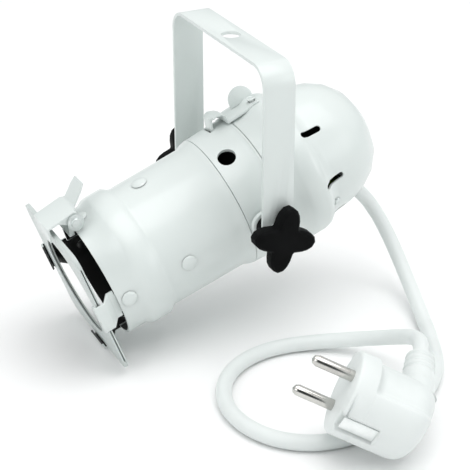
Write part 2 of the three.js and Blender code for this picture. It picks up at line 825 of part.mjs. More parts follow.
// The retainer's flap: a bent plate with a finger tab behind, a lip in front of the frame and two hinge ears.
function flapGeometry() {
  const f = flap;
  const middle = [f.tabTop, f.tabFoot, f.plateFront, f.lipEnd];
  const sheetBand = acrossX(shapeOf(sheetOutline(sideView(middle), sheet)), 2 * f.halfWidth);
  const shoulder = -f.tabFoot[0] - sheet;
  const corner = f.tabWidth / 4;
  const plan = shapeOf([
    [-f.tabWidth / 2 + corner, -f.tabTop[0] + overrun],
    [-f.tabWidth / 2, -f.tabTop[0] - corner],
    [-f.tabWidth / 2, shoulder + 2 * sheet],
    [-f.halfWidth, shoulder],
    [-f.halfWidth, -f.lipEnd[0] - overrun],
    [f.halfWidth, -f.lipEnd[0] - overrun],
    [f.halfWidth, shoulder],
    [f.tabWidth / 2, shoulder + 2 * sheet],
    [f.tabWidth / 2, -f.tabTop[0] - corner],
    [f.tabWidth / 2 - corner, -f.tabTop[0] + overrun],
  ]);
  const plate = common(sheetBand, extruded(plan, 0, 2 * cap.skirtRadius));
  const ear = shapeOf(sideView([
    f.tabFoot,
    [hinge.forward - f.earHeadRadius, hinge.height],
    [hinge.forward, hinge.height - f.earHeadRadius],
    [hinge.forward + f.earHeadRadius, hinge.height],
    [f.earFront, f.plateFront[1] + sheet / 2],
  ]));
  const ears = [-1, 1].flatMap((side) => [
    acrossX(ear, sheet).translate(side * (f.halfWidth - sheet / 2), 0, 0),
    earHead(f.earHeadRadius, -sheet / 2, sheet / 2).translate(side * (f.halfWidth - sheet / 2), 0, 0),
  ]);
  return cut(join(plate, ...ears), hingeBore(hinge.holeRadius));
}
addPiece(can, "retainer_flap", flapGeometry(), whiteCoat());

// The hinge pin: a shouldered screw whose wide head and small end show on the right side.
function hingePinGeometry() {
  const inner = flap.halfWidth + gap;
  const headEnd = inner + hinge.headThick;
  const pin = join(
    bar(hinge.pinRadius, -inner - hinge.headThick, inner + sheet / 2),
    bar(hinge.headRadius, inner, headEnd),
    bar(hingeScrew.radius, headEnd - sheet / 2, headEnd + hingeScrew.thick),
    bar(hingeScrew.radius, -inner - hinge.headThick, -inner),
  );
  return pin.translate(0, -hinge.forward, hinge.height);
}
addPiece(can, "retainer_hinge_pin", hingePinGeometry(), zinc());

// The latch: a spring strip riveted to the cap that arches over the seam and hooks into the housing.
const latchMiddle = [
  [cap.skirtRadius + gap + sheet / 2, latch.rear],
  [cap.skirtRadius + gap + sheet / 2, cap.skirtFront],
  [cap.skirtRadius - sheet / 2, cap.skirtFront + 4 * sheet],
  [housing.rearRadius + 2 * sheet, housing.rear - sheet],
  [housing.rearRadius + 2 * sheet, housing.rear + housing.beadLength],
  [latch.archTop - sheet, latch.archFront - 7 * sheet],
  [latch.archTop, latch.archFront - 4 * sheet],
  [latch.archTop - sheet, latch.archFront - sheet],
  [housing.rearRadius + sheet, latch.archFront],
  [latch.hookEnd, latch.archFront + sheet / 2],
];
function latchGeometry() {
  const l = latch;
  const archStart = housing.rear + housing.beadLength;
  const band = turnedAboutCan(sheetOutline(latchMiddle, sheet));
  const halfPlan = [
    [l.halfWidth, -l.rear + overrun],
    [l.halfWidth, -archStart],
    [l.archHalfWidth, -archStart - sheet],
    [l.archHalfWidth, -l.archFront + 2 * sheet],
    [l.hookHalfWidth, -l.archFront + sheet],
    [l.hookHalfWidth, -l.archFront - overrun],
  ];
  const plan = shapeOf([...halfPlan, ...halfPlan.map(([x, y]) => [-x, y]).reverse()]);
  const strip = common(band, extruded(plan, 0, 2 * cap.skirtRadius));
  const round = l.finLength / 2;
  const fin = new THREE.Shape();
  fin.moveTo(-l.finMiddle + round, cap.skirtRadius + gap + sheet / 2);
  fin.lineTo(-l.finMiddle + round, l.finTop - round);
  fin.absarc(-l.finMiddle, l.finTop - round, round, 0, Math.PI, false);
  fin.lineTo(-l.finMiddle - round, housing.rearRadius + 3 * sheet);
  const holes = latchRivetSides.map((side) =>
    post(rivet.holeRadius, 0, 2 * cap.skirtRadius, tinySides).translate(side * l.rivetSpread, -l.rivetAt, 0),
  );
  return roundCan(cut(join(strip, acrossX(fin, l.finThick)), ...holes), l.turn);
}
addPiece(can, "latch", latchGeometry(), whiteCoat());
latchRivetSides.forEach((side) => {
  const l = latch;
  const rise = cap.skirtRadius - Math.sqrt(cap.skirtRadius ** 2 - l.rivetSpread ** 2);
  const outline = [
    [0, rivet.headHeight],
    [l.rivetHead, 0],
    [rivet.shankRadius, 0],
    [rivet.shankRadius, -sheet - gap - cap.wall],
    [0, -sheet - gap - cap.wall],
  ];
  const height = cap.skirtRadius + gap + sheet + seat + rivet.shankRadius / 2 - rise;
  const geometry = onCan(turned(outline, tinySides), l.rivetAt, height).translate(side * l.rivetSpread, 0, 0);
  addPiece(can, side > 0 ? "latch_rivet_near" : "latch_rivet_far", roundCan(geometry, l.turn), whiteCoat());
});

const earthAt = (socket.lugAt + strap.halfSpan) / 2;

// The socket bracket: a strap across the cap with an ear screwed to the dome's step at each end.
function strapGeometry() {
  const s = strap;
  const middle = [
    [s.halfSpan, -s.earRear],
    [s.halfSpan, -s.plateAt],
    [-s.halfSpan, -s.plateAt],
    [-s.halfSpan, -s.earRear],
  ];
  const band = extruded(shapeOf(sheetOutline(middle, sheet)), -s.width / 2, s.width / 2);
  const padReach = s.leadHole + 4 * sheet;
  const padHeight = s.leadHole + 2 * sheet;
  const pad = box(
    -padReach, padReach, -s.plateAt - sheet / 2, -s.plateAt + sheet / 2, -padHeight, padHeight,
  );
  const leadHole = new THREE.CylinderGeometry(s.leadHole, s.leadHole, overrun, smallSides)
    .translate(0, -s.plateAt, 0);
  const lugHoles = [-1, 1].map((side) =>
    new THREE.CylinderGeometry(socketScrew.hole, socketScrew.hole, overrun, tinySides)
      .translate(side * socket.lugAt, -s.plateAt, 0),
  );
  const earthHole = new THREE.CylinderGeometry(socketScrew.hole, socketScrew.hole, overrun, tinySides)
    .translate(earthAt, -s.plateAt, 0);
  const earHoles = bar(capScrew.hole, -s.halfSpan - overrun, s.halfSpan + overrun, tinySides)
    .translate(0, -capScrew.at, 0);
  return cut(join(band, pad), leadHole, ...lugHoles, earthHole, earHoles).rotateY(bracketTurn);
}
addPiece(can, "socket_bracket", strapGeometry(), zinc());

// Two cross-head screws hold the bracket's ears through the cap.
function capScrewGeometry() {
  const s = capScrew;
  const outline = [
    [0, s.headHeight],
    [s.head / 2, s.headHeight],
    [s.head, 0],
    [s.shank, 0],
    [s.shank, -s.length],
    [0, -s.length],
  ];
  return onCan(turned(outline, tinySides), s.at, s.seat + seat);
}
["right", "left"].forEach((name, i) => {
  addPiece(can, `cap_screw_${name}`, roundCan(capScrewGeometry(), bracketTurns[i]), zinc());
});

// The ceramic socket: a drum with two arc-shaped keyways, each with a round entry at one end and a wider
// chamber behind, so that the lamp's headed pins go in, turn and can't be pulled out.
function arcShape(halfWidth, from, to) {
  const at = keyway.pinRadiusAt;
  const shape = new THREE.Shape();
  const end = (turn) => [at * Math.cos(turn), at * Math.sin(turn)];
  shape.absarc(0, 0, at + halfWidth, from, to, false);
  shape.absarc(...end(to), halfWidth, to, to + Math.PI, false);
  shape.absarc(0, 0, at - halfWidth, to, from, true);
  shape.absarc(...end(from), halfWidth, from + Math.PI, from + 2 * Math.PI, false);
  return shape;
}
function socketGeometry() {
  const s = socket;
  const rear = strap.plateAt + sheet / 2 + gap;
  const drum = new THREE.CylinderGeometry(s.radius, s.radius, s.face - rear, socketSides)
    .translate(0, -(s.face + rear) / 2, 0);
  const lugs = [-1, 1].flatMap((side) => [
    new THREE.CylinderGeometry(s.lugRadius, s.lugRadius, s.lugThick, smallSides)
      .translate(side * s.lugAt, -rear - s.lugThick / 2, 0),
    box(0, s.lugAt, -rear - s.lugThick, -rear, -s.lugRadius, s.lugRadius).rotateY(side > 0 ? 0 : Math.PI),
  ]);
  const plateBack = s.face - s.plate;
  const keyways = [0, Math.PI].flatMap((start) => {
    const entry = start + keywayTurn;
    const hole = new THREE.Shape();
    const at = [keyway.pinRadiusAt * Math.cos(entry), keyway.pinRadiusAt * Math.sin(entry)];
    hole.absarc(...at, keyway.headHalfWidth, 0, 2 * Math.PI, false);
    return [
      alongCan(arcShape(keyway.neckHalfWidth, start, entry), plateBack - gap, s.face + overrun),
      alongCan(arcShape(keyway.headHalfWidth, start, entry), plateBack - s.chamber, plateBack),
      alongCan(hole, plateBack - gap, s.face + overrun),
    ];
  });
  const leadHoles = [-1, 1].map((side) =>
    new THREE.CylinderGeometry(s.leadHole, s.leadHole, 2 * s.lugThick, tinySides)
      .translate(side * keyway.pinRadiusAt, -rear, 0),
  );
  const screwHoles = [-1, 1].map((side) =>
    new THREE.CylinderGeometry(socketScrew.hole, socketScrew.hole, 3 * s.lugThick, tinySides)
      .translate(side * s.lugAt, -rear - s.lugThick / 2, 0),
  );
  return cut(join(drum, ...lugs), ...keyways, ...leadHoles, ...screwHoles).rotateY(bracketTurn);
}
addPiece(can, "lamp_socket", socketGeometry(), ceramic());

// Screws that run along the can, drawn with the underside of the head at a forward place.
function axialScrew(under, length, across) {
  const s = socketScrew;
  const outline = [
    [0, under + s.headHeight],
    [s.head / 2, under + s.headHeight],
    [s.head, under],
    [s.shank, under],
    [s.shank, under - length],
    [0, under - length],
  ];
  return turnedAboutCan(outline, tinySides).translate(across, 0, 0).rotateY(bracketTurn);
}
const lugFront = strap.plateAt + sheet / 2 + gap + socket.lugThick;
["right", "left"].forEach((name, i) => {
  const across = i ? -socket.lugAt : socket.lugAt;
  const length = socket.lugThick + sheet + gap + socketScrew.tail;
  addPiece(can, `socket_screw_${name}`, axialScrew(lugFront + seat, length, across), zinc());
});
const earthUnder = strap.plateAt + sheet / 2 + seat;
addPiece(can, "earth_screw", axialScrew(earthUnder, sheet + seat + socketScrew.tail, earthAt), zinc());

// The lamp: ceramic base, two headed pins, pressed reflector, burner and front glass.
const lampRear = socket.face + gap;
const lampFront = lampRear + lamp.length;
const baseFront = lampRear + lamp.baseLength;
function lampBaseGeometry() {
  const drum = new THREE.CylinderGeometry(lamp.baseRadius, lamp.baseRadius, lamp.baseLength, 24)
    .translate(0, -(lampRear + baseFront) / 2, 0);
  const holes = [-1, 1].map((side) =>
    new THREE.CylinderGeometry(lampPin.neck + gap, lampPin.neck + gap, 2 * (lampPin.bury + gap), tinySides)
      .translate(side * keyway.pinRadiusAt, -lampRear, 0),
  );
  return cut(drum, ...holes).rotateY(bracketTurn);
}
addPiece(can, "lamp_base", lampBaseGeometry(), ceramic());
["right", "left"].forEach((name, i) => {
  const headFront = socket.face - socket.plate - gap;
  const outline = [
    [0, lampRear + lampPin.bury],
    [lampPin.neck, lampRear + lampPin.bury],
    [lampPin.neck, headFront],
    [lampPin.head, headFront],
    [lampPin.head, headFront - lampPin.headLength],
    [0, headFront - lampPin.headLength],
  ];
  const across = i ? -keyway.pinRadiusAt : keyway.pinRadiusAt;
  const geometry = turnedAboutCan(outline, 12).translate(across, 0, 0).rotateY(bracketTurn);
  addPiece(can, `lamp_pin_${name}`, geometry, nickel());
});
function reflectorGeometry() {
  const l = lamp;
  const rear = baseFront + gap;
  const rim = lampFront - l.glassThick - gap;
  const bowlShares = [0.08, 0.2, 0.36, 0.56, 0.78];
  const outer = [
    [0, rear],
    [l.floorRadius, rear],
    ...bowlShares.map((share) => [
      l.floorRadius + (l.rimRadius - l.floorRadius) * Math.sqrt(share),
      THREE.MathUtils.lerp(rear, rim, share),
    ]),
    [l.rimRadius, rim],
  ];
  const inner = offset(outer, l.wall).map(([radius, forward]) => [radius, Math.min(forward, rim)]);
  return turnedAboutCan([...outer, ...inner.reverse()], 28);
}
addPiece(can, "lamp_reflector", reflectorGeometry(), mirror());
const burnerRear = baseFront + gap + lamp.wall + gap;
const burnerOutline = [
  [0, burnerRear],
  [capsule.radius, burnerRear],
  [capsule.radius, burnerRear + capsule.length - capsule.radius],
  [capsule.radius / 2, burnerRear + capsule.length],
  [0, burnerRear + capsule.length],
];
addPiece(can, "lamp_burner", turnedAboutCan(burnerOutline, 12), clearGlass());
const glassMiddle = lampFront - lamp.glassThick / 2;
const glassDisc = new THREE.CylinderGeometry(lamp.rimRadius, lamp.rimRadius, lamp.glassThick, 28);
addPiece(can, "lamp_glass", glassDisc.translate(0, -glassMiddle, 0), clearGlass());

// Tilt hardware, the same on both sides: bush, friction spacer, washer, stud and knob.
const armInner = yoke.halfSpan - yoke.thick;
const washerIn = yoke.halfSpan + gap;
const knobIn = washerIn + washer.thick + gap;
function bushGeometry() {
  const body = join(
    bar(bush.stemRadius, bushNut.inner, bush.headOut),
    bar(bush.headRadius, bush.headIn, bush.headOut, 24),
    bar(bushNut.radius, bushNut.inner, bushNut.outer, 6),
  );
  return cut(body, bar(bush.bore, stud.innerEnd - 2 * gap, bush.headOut + overrun));
}
function spacerGeometry() {
  return cut(
    bar(spacerRadius, bush.headOut + gap, armInner - gap, 20),
    bar(bush.bore, bush.headOut - overrun, armInner + overrun),
  );
}
function washerGeometry() {
  const disc = bar(washer.radius, washerIn, washerIn + washer.thick, washerSides);
  return cut(disc, bar(bush.bore, washerIn - overrun, knobIn + overrun));
}
function knobGeometry() {
  const k = knob;
  const outline = Array.from({ length: knobFacets }, (_, i) => {
    const turn = (i / knobFacets) * 2 * Math.PI;
    const lobe = ((1 + Math.cos(knobLobes * turn)) / 2) ** lobeSharpness;
    const radius = k.valleyRadius + (k.tipRadius - k.valleyRadius) * lobe - k.edge;
    return [radius * Math.cos(turn), radius * Math.sin(turn)];
  });
  const bevel = { bevelEnabled: true, bevelThickness: k.edge, bevelSize: k.edge, bevelSegments: 1 };
  const body = new THREE.ExtrudeGeometry(shapeOf(outline), { depth: k.thick - 2 * k.edge, ...bevel })
    .translate(0, 0, k.edge)
    .applyMatrix4(sideToX)
    .rotateX(knobTurn - Math.PI / 2)
    .translate(knobIn, 0, 0);
  return cut(body, bar(stud.radius + gap, knobIn - overrun, knobIn + k.studDepth + gap));
}
const sides = [
  ["right", 0],
  ["left", Math.PI],
];
for (const [name, turn] of sides) {
  const canSide = (geometry) => geometry.rotateY(turn);
  const yokeSide = (geometry) => geometry.rotateZ(turn).translate(0, 0, -pivotDrop);
  addPiece(can, `pivot_bush_${name}`, canSide(bushGeometry()), whiteCoat());
  addPiece(can, `friction_spacer_${name}`, canSide(spacerGeometry()), blackPlastic());
  addPiece(part, `knob_washer_${name}`, yokeSide(washerGeometry()), zinc());
  const studBar = bar(stud.radius, stud.innerEnd, knobIn + knob.studDepth);
  addPiece(part, `knob_stud_${name}`, yokeSide(studBar), zinc());
  addPiece(part, `tilt_knob_${name}`, yokeSide(knobGeometry()), blackPlastic());
}

// The cord gland: a flange and nose outside the dome, a stem through it and a round nut inside.
const nutRear = -cap.wall - gland.nutDrop - gland.nutThick;
function glandGeometry() {
  const g = gland;
  const outline = [
    [g.bore, nutRear],
    [g.nut, nutRear],
    [g.nut, nutRear + g.nutThick],
    [g.stem, nutRear + g.nutThick],
    [g.stem, gap],
    [g.flange, gap],
    [g.flange, g.flangeThick],
    [g.nose, g.flangeThick],
    [g.nose - gap, g.flangeThick + g.noseLength],
    [g.bore, g.flangeThick + g.noseLength],
  ];
  return onDome(turned(outline, smallSides));
}
addPiece(can, "cord_gland", glandGeometry(), whitePvc());

// A round lead or cord along a smooth line through its points.
function tube(points, radius, sideCount, steps) {
  const shape = new THREE.Shape();
  shape.absarc(0, 0, radius, 0, 2 * Math.PI, false);
  const places = points.map((point) => new THREE.Vector3(...point));
  const path = new THREE.CatmullRomCurve3(places, false, "centripetal");
  const ring = shape.getPoints(sideCount).slice(0, sideCount);
  return new THREE.ExtrudeGeometry(new THREE.Shape(ring), { steps, bevelEnabled: false, extrudePath: path });
}
// The three leads fan out of the gland to the socket's two holes and to the earth screw.
const leadStart = new THREE.Vector3(0, 0, nutRear - gap);
function leadPoints(across, end) {
  const start = onDomePoint(leadStart.clone().add(new THREE.Vector3(across, 0, 0)));
  const inside = onDomePoint(leadStart.clone().add(new THREE.Vector3(across, 0, -gland.nut)));
  const before = end.clone().add(new THREE.Vector3(0, 2 * gland.nut, 0));
  return [start, inside, before, end].map((point) => point.toArray());
}
function onDomePoint(point) {
  return point.applyAxisAngle(new THREE.Vector3(1, 0, 0), glandLean - Math.PI)
    .add(new THREE.Vector3(0, -glandPlace[1], -glandPlace[0]));
}
const socketRear = strap.plateAt + sheet / 2 + gap;
const turnAboutCan = (point) => point.applyAxisAngle(new THREE.Vector3(0, 1, 0), bracketTurn);
const leadEnds = {
  live_lead: turnAboutCan(new THREE.Vector3(keyway.pinRadiusAt, -socketRear - gap, 0)),
  neutral_lead: turnAboutCan(new THREE.Vector3(-keyway.pinRadiusAt, -socketRear - gap, 0)),
  earth_lead: turnAboutCan(
    new THREE.Vector3(earthAt, -strap.plateAt + sheet / 2 + socketScrew.tail + 2 * gap, 0),
  ),
};
const leadSpread = { live_lead: 0, neutral_lead: -2.2 * leadRadius, earth_lead: 2.2 * leadRadius };
const leadColours = { live_lead: 0x5a3a22, neutral_lead: 0x2c5f9e, earth_lead: 0x7a9a2c };
for (const [name, end] of Object.entries(leadEnds)) {
  const geometry = tube(leadPoints(leadSpread[name], end), leadRadius, leadSides, leadSteps);
  addPiece(can, name, geometry, finish(leadColours[name], 0.5, 0));
}

addPiece(part, "mains_cord", tube(cordRoute, cordRadius, cordSides, cordSteps), whitePvc());

// The plug's own frame: X from one pin to the other, Y out along the pins, Z towards the cord's exit.
const pinsOut = pinShares.clone().normalize();
const pinToPin = pinsOut.clone().cross(exitShares).normalize();
const exitOut = pinToPin.clone().cross(pinsOut).normalize();
const plugGroup = new THREE.Group();
plugGroup.quaternion.setFromRotationMatrix(new THREE.Matrix4().makeBasis(pinToPin, pinsOut, exitOut));
plugGroup.position.copy(plugFace);
part.add(plugGroup);

// The plug's body: a round face with two flats, and behind it a block with a rounded back.
function plugBodyGeometry() {
  const g = plug;
  const disc = new THREE.CylinderGeometry(g.faceRadius, g.faceRadius, g.discDepth, plugSides)
    .translate(0, -g.discDepth / 2, 0);
  const flats = box(-g.bodyDepth, g.bodyDepth, -g.bodyDepth, 0, -g.flatAt, g.flatAt);
  const back = g.backRadius;
  const block = new THREE.Shape();
  block.moveTo(-g.bodyHalfWidth, -g.discDepth / 2);
  block.lineTo(-g.bodyHalfWidth, -g.bodyDepth + back);
  block.absarc(-g.bodyHalfWidth + back, -g.bodyDepth + back, back, Math.PI, 1.5 * Math.PI, false);
  block.absarc(g.bodyHalfWidth - back, -g.bodyDepth + back, back, 1.5 * Math.PI, 2 * Math.PI, false);
  block.lineTo(g.bodyHalfWidth, -g.discDepth / 2);
  const bevel = { bevelEnabled: true, bevelThickness: g.edge, bevelSize: 0, bevelSegments: 1 };
  const depth = 2 * (g.bodyHalfLength - g.edge);
  const body = new THREE.ExtrudeGeometry(block, { depth, curveSegments: 5, ...bevel })
    .translate(0, 0, g.edge - g.bodyHalfLength);
  const drum = new THREE.CylinderGeometry(g.bodyHalfWidth, g.bodyHalfWidth, 2 * g.bodyDepth, plugSides);
  const waist = box(-g.bodyHalfWidth, g.bodyHalfWidth, -g.bodyDepth, 0, -back, back);
  const behindFace = box(-g.bodyDepth, g.bodyDepth, -g.bodyDepth, 0, -g.bodyDepth, g.bodyDepth);
  const moulding = join(common(disc, flats), common(body, join(drum, waist)));
  const rounded = common(moulding, behindFace);
  const pinHole = plugPin.radius + gap;
  const pinHoles = [-1, 1].map((side) =>
    new THREE.CylinderGeometry(pinHole, pinHole, 2 * (plugPin.bury + gap), smallSides)
      .translate(side * plugPin.spacing / 2, 0, 0),
  );
  const c = contact;
  const grooves = [-1, 1].map((side) =>
    box(
      -c.grooveWidth / 2, c.grooveWidth / 2, -c.grooveLength, overrun,
      g.flatAt - c.grooveDepth, g.flatAt + overrun,
    )
      .rotateY(side > 0 ? 0 : Math.PI),
  );
  return cut(rounded, ...pinHoles, ...grooves);
}
addPiece(plugGroup, "plug_body", plugBodyGeometry(), whitePvc());

[-1, 1].forEach((side) => {
  const p = plugPin;
  const straight = p.length - p.radius;
  const outline = [
    [0, -p.bury],
    [p.radius, -p.bury],
    [p.radius, straight],
    [p.radius * Math.SQRT1_2, straight + p.radius * Math.SQRT1_2],
    [0, p.length],
  ];
  const geometry = turned(outline, 14).rotateX(-Math.PI / 2).translate(side * p.spacing / 2, 0, 0);
  addPiece(plugGroup, side > 0 ? "plug_pin_lower" : "plug_pin_upper", geometry, nickel());
  const c = contact;
  const bottom = plug.flatAt - c.grooveDepth + gap;
  const strip = box(-c.width / 2, c.width / 2, -c.back - c.length, -c.back, bottom, bottom + c.thick)
    .rotateY(side > 0 ? 0 : Math.PI);
  addPiece(plugGroup, side > 0 ? "plug_contact_inner" : "plug_contact_outer", strip, nickel());
});

// The strain relief: a tapered boss with moulded ribs near its end, where the cord leaves.
function reliefGeometry() {
  const r = relief;
  const radiusAt = (place) => THREE.MathUtils.mapLinear(place, r.root, r.tip, r.rootRadius, r.tipRadius);
  const outline = [
    [0, r.root + gap],
    [radiusAt(r.root), r.root + gap],
  ];
  for (let rib = r.ribs; rib > 0; rib -= 1) {
    const start = r.tip - rib * r.ribPitch;
    outline.push([radiusAt(start), start]);
    outline.push([radiusAt(start) - r.ribDepth, start + r.ribDepth]);
    outline.push([radiusAt(start) - r.ribDepth, start + 2 * r.ribDepth]);
    outline.push([radiusAt(start), start + 3 * r.ribDepth]);
  }
  outline.push([r.tipRadius, r.tip - r.ribDepth]);
  outline.push([r.tipRadius - r.ribDepth, r.tip]);
  outline.push([0, r.tip]);
  return turned(outline, smallSides).translate(0, -plug.exitDepth, 0);
}
addPiece(plugGroup, "plug_strain_relief", reliefGeometry(), whitePvc());

export default part;
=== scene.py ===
import math

import bpy
import numpy as np
from mathutils import Matrix


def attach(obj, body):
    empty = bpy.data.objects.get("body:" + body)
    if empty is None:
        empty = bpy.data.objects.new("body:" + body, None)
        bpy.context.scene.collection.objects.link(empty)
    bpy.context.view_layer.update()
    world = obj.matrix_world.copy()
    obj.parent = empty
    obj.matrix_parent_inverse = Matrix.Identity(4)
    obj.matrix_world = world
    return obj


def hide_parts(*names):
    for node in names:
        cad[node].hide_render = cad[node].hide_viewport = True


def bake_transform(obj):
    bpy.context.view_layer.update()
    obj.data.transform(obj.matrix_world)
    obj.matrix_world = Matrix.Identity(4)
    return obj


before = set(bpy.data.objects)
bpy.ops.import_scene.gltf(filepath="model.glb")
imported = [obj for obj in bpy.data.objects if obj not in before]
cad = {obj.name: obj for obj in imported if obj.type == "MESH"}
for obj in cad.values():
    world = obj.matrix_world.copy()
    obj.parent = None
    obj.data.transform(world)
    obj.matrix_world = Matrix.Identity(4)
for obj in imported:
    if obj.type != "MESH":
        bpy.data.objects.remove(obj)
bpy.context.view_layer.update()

scene = bpy.context.scene
scene.view_settings.view_transform = "Standard"     # so that a white floor comes out pure white

# ---- Camera, floor and light
# The can is seen from in front of its right side, from 0.64 m away through a long lens.
# It hangs over a pale sheet that its cord and plug lie on, among large soft lamps.
eye = np.array([0.5443, -0.2717, 0.2121])
eye_right = np.array([0.4493, 0.8934, 0.0])
eye_up = np.array([-0.4069, 0.2047, 0.8902])
eye_pose = np.eye(4)
eye_pose[:3] = np.stack([eye_right, eye_up, np.cross(eye_right, eye_up), eye], axis=1)

camera = bpy.data.objects.new("camera", bpy.data.cameras.new("camera"))
scene.collection.objects.link(camera)
camera.data.sensor_width = 36
camera.data.lens = 111.06
camera.data.clip_start = 0.01
camera.matrix_world = Matrix(eye_pose.tolist())
scene.camera = camera


def surface(name, points, wrap=True, closed_ends=False):
    """A mesh on a grid of points, rows along the piece and columns round it.

    Four neighbours in the grid make each face. With wrap the last column meets the first, and
    closed_ends adds a flat face on the first row and on the last. The UV map has the column's
    share of the way round as u and the distance along the first column as v.
    """
    rows, columns = points.shape[:2]
    last = columns if wrap else columns - 1
    row, column = np.meshgrid(np.arange(rows - 1), np.arange(last), indexing="ij")
    beside = (column + 1) % columns
    quads = np.stack([row * columns + column, row * columns + beside,
                      (row + 1) * columns + beside, (row + 1) * columns + column], axis=-1).reshape(-1, 4)
    faces = quads.tolist()
    if closed_ends:
        faces += [list(range(columns))[::-1], list(range((rows - 1) * columns, rows * columns))]
    mesh = bpy.data.meshes.new(name)
    mesh.from_pydata(points.reshape(-1, 3).tolist(), [], faces)
    travel = np.concatenate([[0], np.cumsum(np.linalg.norm(np.diff(points[:, 0], axis=0), axis=1))])
    corners = np.zeros((len(mesh.loops), 2))
    around = np.stack([column, column + 1, column + 1, column], axis=-1) / last
    along = np.stack([travel[row], travel[row], travel[row + 1], travel[row + 1]], axis=-1)
    corners[:quads.size] = np.stack([around.ravel(), along.ravel()], axis=1)
    mesh.uv_layers.new(name="UVMap").data.foreach_set("uv", corners.ravel())
    mesh.polygons.foreach_set("use_smooth", np.ones(len(mesh.polygons), dtype=bool))
    mesh.update()
    piece = bpy.data.objects.new(name, mesh)
    scene.collection.objects.link(piece)
    return piece


def material(name, colour, roughness, metallic=0.0):
    """A new material whose Principled surface has one colour and one gloss."""
    made = bpy.data.materials.new(name)
    made.use_nodes = True
    shader = made.node_tree.nodes["Principled BSDF"]
    shader.inputs["Base Color"].default_value = (*colour, 1)
    shader.inputs["Roughness"].default_value = roughness
    shader.inputs["Metallic"].default_value = metallic
    made.diffuse_color = (*colour, 1)
    return made


def paint(piece, finish):
    """The piece wears one finish all over."""
    piece.data.materials.clear()
    piece.data.materials.append(finish)


# The floor is a wide sheet of pale paper, a hair under the cord.
floor_level = -0.1402
floor_reach = 20.0
floor_corners = floor_reach * np.array([[[-1, -1, 0], [1, -1, 0]], [[-1, 1, 0], [1, 1, 0]]])
floor = surface("floor", floor_corners + [0, 0, floor_level], wrap=False)
paint(floor, material("floor_paper", colour=(0.9, 0.9, 0.9), roughness=0.9))


def soft_lamp(name, place, size, power, aim=(0, 0, -0.08)):
    """A square lamp at place, turned so that it shines at aim, the middle of the can."""
    lamp = bpy.data.lights.new(name, "AREA")
    lamp.shape = "SQUARE"
    lamp.size = size
    lamp.energy = power
    holder = bpy.data.objects.new(name, lamp)
    away = np.array(place, dtype=float) - np.array(aim, dtype=float)
    away /= np.linalg.norm(away)
    across = np.cross([0, 0, 1], away)
    across /= np.linalg.norm(across)
    pose = np.eye(4)
    pose[:3] = np.stack([across, np.cross(away, across), away, place], axis=1)
    holder.matrix_world = Matrix(pose.tolist())
    scene.collection.objects.link(holder)


soft_lamp("lamp_overhead", (0.25, 0.1, 1.2), size=1.2, power=9)
soft_lamp("lamp_left", (0.5, -1.1, 0.5), size=0.7, power=3)
soft_lamp("lamp_right", (1.0, 0.9, 0.35), size=0.6, power=2)


def add(tree, kind, settings=None, **inputs):
    """A new node: settings are its own options, and inputs are values or sockets by name, with _ for a
    space, or by number, with i before it."""
    node = tree.nodes.new("ShaderNode" + kind)
    for option, value in (settings or {}).items():
        setattr(node, option, value)
    for key, value in inputs.items():
        socket = node.inputs[int(key[1:]) if key[0] == "i" and key[1:].isdigit() else key.replace("_", " ")]
        if isinstance(value, bpy.types.NodeSocket):
            tree.links.new(value, socket)
        else:
            socket.default_value = value
    return node


def vector_sum(tree, operation, result, first, second):
    """One output of a sum on two vectors: result 0 is its vector and result 1 its number."""
    return add(tree, "VectorMath", {"operation": operation}, i0=first, i1=second).outputs[result]


def colour_mix(tree, share, first, second):
    """The colour that goes from the first to the second as share goes from 0 to 1."""
    return add(tree, "Mix", {"data_type": "RGBA"}, Factor=share, i6=first, i7=second).outputs[2]


# The sky fades towards the floor, and round the camera it is as dark as the open side of a studio.
sky_stops = ((0.05, (0.44, 0.50, 0.50, 1)), (0.75, (1.0, 1.0, 1.0, 1)))
sky_strength = 0.95
open_side_middle = (0.795, -0.400, 0.456)
open_side_colour = (0.03, 0.035, 0.035, 1)
open_side_edge, open_side_core = 0.88, 0.96
scene.world = bpy.data.worlds.new("studio")
scene.world.use_nodes = True
sky = scene.world.node_tree
sky_ahead = add(sky, "TexCoord").outputs["Generated"]
sky_tone = add(sky, "ValToRGB", i0=add(sky, "SeparateXYZ", i0=sky_ahead).outputs["Z"])
for stop, (height, tone) in zip(sky_tone.color_ramp.elements, sky_stops):
    stop.position = height
    stop.color = tone
open_side = add(sky, "MapRange", {"interpolation_type": "SMOOTHSTEP"},
                Value=vector_sum(sky, "DOT_PRODUCT", 1, sky_ahead, open_side_middle),
                From_Min=open_side_edge, From_Max=open_side_core)
sky_colour = colour_mix(sky, open_side.outputs["Result"], sky_tone.outputs[0], open_side_colour)
sky.links.new(sky_colour, sky.nodes["Background"].inputs["Color"])
sky.nodes["Background"].inputs["Strength"].default_value = sky_strength

